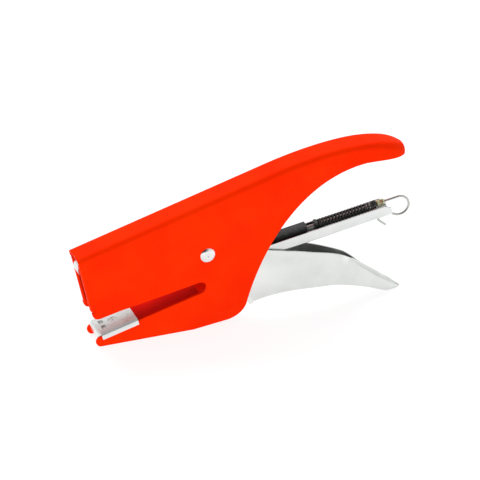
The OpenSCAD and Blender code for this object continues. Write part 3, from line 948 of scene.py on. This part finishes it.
def anvil():
    skin = Skin()
    sheet, skirt, bend, inner_bend = 1.2, 0.75, 1.3, 0.5
    web_half, web_low, mid = 5.6, -2.2, 3
    bends = in_radians(spread(0, 90, 8))
    us = [0, -4, -8, -12, -16, -ANVIL_LONG]
    turns = in_radians(spread(0, 80, 6))

    def edge(b):
        """Outer and inner (across, level) on the bend between top and skirt."""
        outer = (bend * (1 - math.cos(b)) - ANVIL_HALF, ANVIL_TOP - bend * (1 - math.sin(b)))
        inner_y = skirt - ANVIL_HALF + inner_bend * (1 - math.cos(b))
        return outer, (inner_y, ANVIL_TOP - sheet - inner_bend * (1 - math.sin(b)))

    def straight(u, cross):
        return tuple((u, y, w) for y, w in cross)

    def nose(turn, y):
        """The front, turned down round a bend across the jaw."""
        pairs = []
        for inset in (0, sheet):
            r = ANVIL_NOSE - inset
            level = ANVIL_TOP - ANVIL_NOSE + r * math.cos(turn)
            pairs.append((-ANVIL_LONG - r * math.sin(turn), y, level))
        return tuple(pairs)

    def draw_half(half):
        foot = ((-ANVIL_HALF, ANVIL_LOW), (skirt - ANVIL_HALF, ANVIL_LOW))
        crosses = [foot] + [edge(b) for b in bends]
        top = [((-y, ANVIL_TOP), (-y, ANVIL_TOP - sheet)) for y in (web_half, mid, 0)]
        half.strips([[straight(u, cross) for u in us] for cross in crosses + top])
        ys = [edge(bends[-1])[0][0], -web_half, -mid, 0]
        half.strips([[nose(t, y) for t in turns] for y in ys])
        end = [nose(turns[-1], y) for y in ys[1:]]
        foot_row = [((p[0], p[1], web_low), (q[0], q[1], web_low)) for p, q in end]
        half.strips([end, foot_row])

    skin.both(draw_half)
    piece = skin.piece("anvil_saddle", in_jaw)
    cutters = [clinch_cutter(side) for side in (-1, 1)]
    carve(piece, *cutters, dish_cutter())
    soften(piece, 0.1)
    place_piece(piece, "housing", "nickel", STRIKER, "anvil_plate")


# ---- Pivot rivet ----
def pivot_rivet():
    """A rivet with two domed heads, each with a dimple in its centre."""
    head, rise, shank = 3.5, 0.8, 1.6
    crown, dimple_depth, dimple_r = 0.8, 0.42, 0.8

    def dome(r):
        share = r / head
        dimple = dimple_depth * math.exp(-(r / dimple_r) ** 2)
        return rise * (1 - share ** 2) ** crown - dimple

    radii = [0.03] + spread(0.15, 3.2, 20) + [3.3, 3.38, 3.44, 3.48, head]
    profile = [(-BODY_HALF - dome(r), r) for r in radii]
    profile += [(-BODY_HALF, shank), (BODY_HALF, shank)]
    profile += [(BODY_HALF + dome(r), r) for r in reversed(radii)]
    piece = turned("domed_rivet", profile, lambda p: PIVOT + Vector((p[1], p[0], p[2])), 64)
    shade(piece, 45)
    place_piece(piece, "housing", "nickel", POLISHED, "pivot_rivet")


# ---- Camera, light and floor ----
AIM = Vector((-1.1, 0, 38.43 + LIFT)) * MM
CAMERA_AZIMUTH = -20.1
CAMERA_ELEVATION = 29.8
CAMERA_DISTANCE = 6.0607
CAMERA_LENS = 1000
SENSOR_WIDTH = 36
FLOOR_GLOW = 3.95
FLOOR_SIZE, FLOOR_LEVEL = 6000, -0.05
SKY_TOP, SKY_SIDE = 0.62, 0.85
PATCH_AZIMUTH, PATCH_ELEVATION = -28, 22
PATCH_NEAR, PATCH_FAR, PATCH_DARK = 26, 56, 0.04


def direction(azimuth, elevation):
    """Towards a place round the part, in degrees; azimuth 0 is the near side, -Y."""
    a, e = math.radians(azimuth), math.radians(elevation)
    return Vector((math.sin(a) * math.cos(e), -math.cos(a) * math.cos(e), math.sin(e)))


def add_camera():
    camera = bpy.data.objects.new("camera", bpy.data.cameras.new("camera"))
    bpy.context.scene.collection.objects.link(camera)
    back = direction(CAMERA_AZIMUTH, CAMERA_ELEVATION)
    camera.location = AIM + back * CAMERA_DISTANCE
    camera.rotation_euler = (-back).to_track_quat("-Z", "Y").to_euler()
    camera.data.lens = CAMERA_LENS
    camera.data.sensor_width = SENSOR_WIDTH
    camera.data.clip_start = 0.5
    camera.data.clip_end = 30
    bpy.context.scene.camera = camera


def add_softbox(name, azimuth, elevation, distance, size, watts):
    """A soft light aimed at the part, which doesn't show in its reflections."""
    data = bpy.data.lights.new(name, "AREA")
    data.shape = "RECTANGLE"
    data.size, data.size_y = size
    data.energy = watts
    light = bpy.data.objects.new(name, data)
    light.visible_glossy = False
    bpy.context.scene.collection.objects.link(light)
    back = direction(azimuth, elevation)
    light.location = AIM + back * distance
    light.rotation_euler = (-back).to_track_quat("-Z", "Y").to_euler()


def add_world():
    """A pale studio: dimmer overhead, with a dark patch in front, as a photographer makes."""
    world = bpy.data.worlds.new("studio")
    world.use_nodes = True
    tree = world.node_tree
    background = tree.nodes["Background"]
    place = tree.nodes.new("ShaderNodeTexCoord").outputs["Generated"]

    def toward(azimuth, elevation, near, far, low, high):
        """A value that runs from low to high with the angle from a direction, in degrees."""
        dot = tree.nodes.new("ShaderNodeVectorMath")
        dot.operation = "DOT_PRODUCT"
        dot.inputs[1].default_value = direction(azimuth, elevation)
        tree.links.new(place, dot.inputs[0])
        ramp = tree.nodes.new("ShaderNodeMapRange")
        ramp.interpolation_type = "SMOOTHSTEP"
        ramp.inputs["From Min"].default_value = math.cos(math.radians(far))
        ramp.inputs["From Max"].default_value = math.cos(math.radians(near))
        ramp.inputs["To Min"].default_value = high
        ramp.inputs["To Max"].default_value = low
        tree.links.new(dot.outputs["Value"], ramp.inputs["Value"])
        return ramp.outputs["Result"]

    product = tree.nodes.new("ShaderNodeMath")
    product.operation = "MULTIPLY"
    sky = toward(0, 90, 10, 80, SKY_TOP, SKY_SIDE)
    patch = toward(PATCH_AZIMUTH, PATCH_ELEVATION, PATCH_NEAR, PATCH_FAR, PATCH_DARK, 1.0)
    tree.links.new(sky, product.inputs[0])
    tree.links.new(patch, product.inputs[1])
    background.inputs["Color"].default_value = (1, 1, 1, 1)
    tree.links.new(product.outputs[0], background.inputs["Strength"])
    bpy.context.scene.world = world


def add_floor():
    around = ((-1, -1), (1, -1), (1, 1), (-1, 1))
    corners = [(x * FLOOR_SIZE, y * FLOOR_SIZE, FLOOR_LEVEL) for x, y in around]
    floor = make_mesh("floor", corners, [(0, 1, 2, 3)])
    n = Nodes("pale_floor")
    colour = n.ramp(n.noise(4, 2), [(0.3, (0.215, 0.215, 0.215)), (0.7, (0.22, 0.22, 0.22))])
    n.link(colour, n.shader.inputs["Emission Color"])
    n.shader.inputs["Emission Strength"].default_value = FLOOR_GLOW
    n.shader.inputs["Specular IOR Level"].default_value = 0.1
    roughness = n.span(n.noise(30, 3), 0.75, 0.9)
    floor.data.materials.append(n.finish(colour, roughness, n.bump(n.noise(200, 2), 0.02, 0.1)))


add_camera()
add_world()
add_softbox("key", 172, 44, 3.0, (3.0, 2.2), 96)
add_softbox("front", -35, 3, 2.4, (1.8, 0.4), 27)
add_floor()
bpy.context.scene.view_settings.view_transform = "Standard"

body_shell()
lever_skin()
magazine_skin()
pull_rod()
ferrule()
feed_spring()
drive_spring()
anvil()
pivot_rivet()

# ---- CAD nodes that stay, with their materials and rounded edges ----
KEPT = {
    # The jaw liner takes the darker copy of the paint, as painted shade in the throat.
    "jaw_liner": (SHADED_PAINT, 0.15),
    "anvil_rivet": (STRIKER, 0.1),
    "pivot_bush": (ZINC, 0.08),
    "pivot_washers": (ZINC, 0.05),
    "roof_bumper": (RUBBER, 0.3),
    "return_spring": (SPRING, 0),
    "magazine_nose": (CHROME, 0.15),
    "staple_core": (OXIDE, 0.1),
    "ear_spacer": (ZINC, 0.08),
    "arm_spacer": (ZINC, 0.08),
    "arm_rivet": (NICKEL, 0.1),
    "hammer_pin": (NICKEL, 0.1),
    "spring_stud": (ZINC, 0.1),
    "driver_blade": (NICKEL, 0.06),
    "hammer_block": (CHROME, 0.15),
    "driver_rivets": (NICKEL, 0.05),
    "pusher_saddle": (OXIDE, 0.2),
    "pusher_block": (OXIDE, 0.2),
    "pusher_pins": (NICKEL, 0.05),
}
for node, (material, width) in KEPT.items():
    shown = frame["nodes"][node]
    shown.data.materials.clear()
    shown.data.materials.append(material)
    if width:
        soften(shown, width, weld=True)
